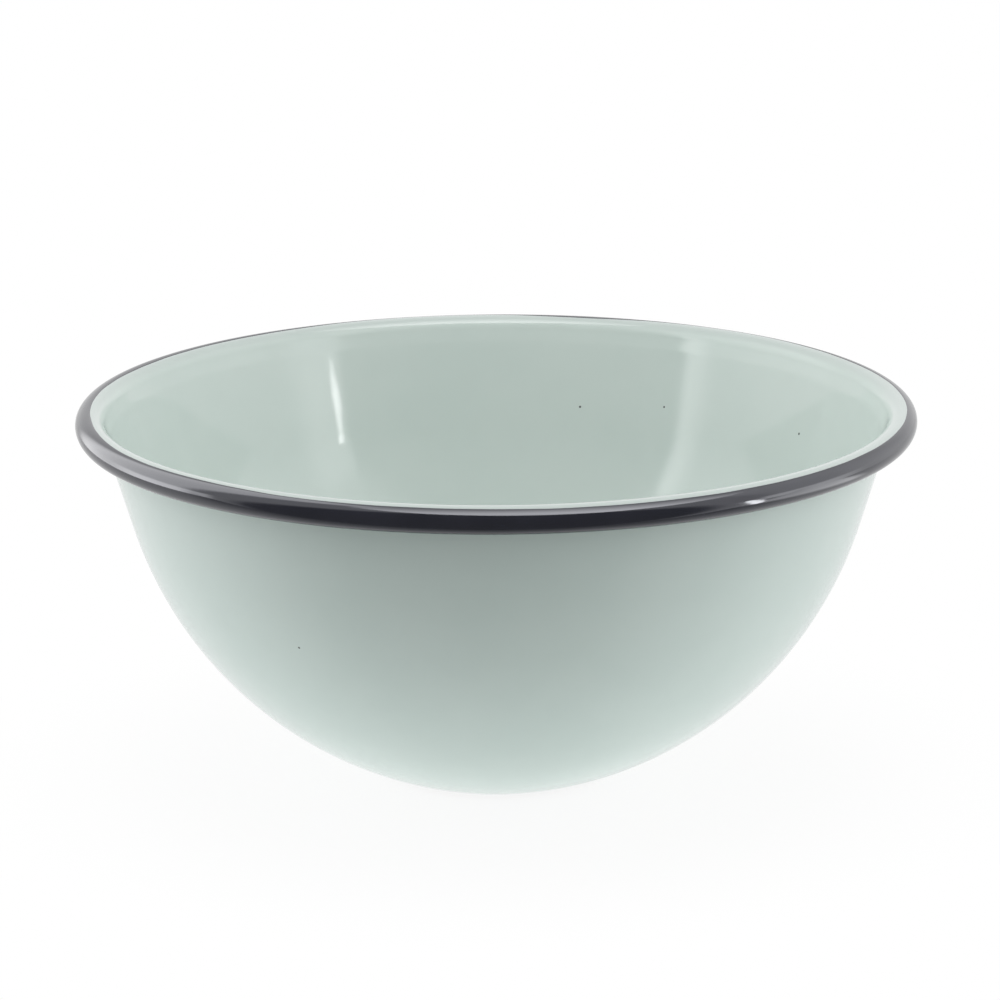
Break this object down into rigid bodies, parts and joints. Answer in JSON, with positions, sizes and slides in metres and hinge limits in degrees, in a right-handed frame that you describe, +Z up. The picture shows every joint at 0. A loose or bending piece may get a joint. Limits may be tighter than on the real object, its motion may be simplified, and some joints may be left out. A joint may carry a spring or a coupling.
{
  "type": "enamel bowl",
  "caption": "Round deep bowl of enamelled steel with a rolled, dark-edged rim and a small flat base, for cereal, soup or salad.",
  "frame": {"origin": "on the table, under the middle of the base", "axes": "+Z up along the bowl's axis of revolution; X and Y lie in the table and are alike"},
  "size_m": [0.16, 0.16, 0.0724],
  "materials": {
    "sheet_steel": "satin",
    "ground_enamel": "gloss",
    "cover_enamel": "gloss",
    "band_enamel": "gloss"
  },
  "bodies": {
    "root": {"steel_shell": "sheet_steel", "inner_ground_coat": "ground_enamel", "outer_ground_coat": "ground_enamel", "inner_cover_coat": "cover_enamel", "outer_cover_coat": "cover_enamel", "rim_band": "band_enamel"}
  },
  "joints": []
}
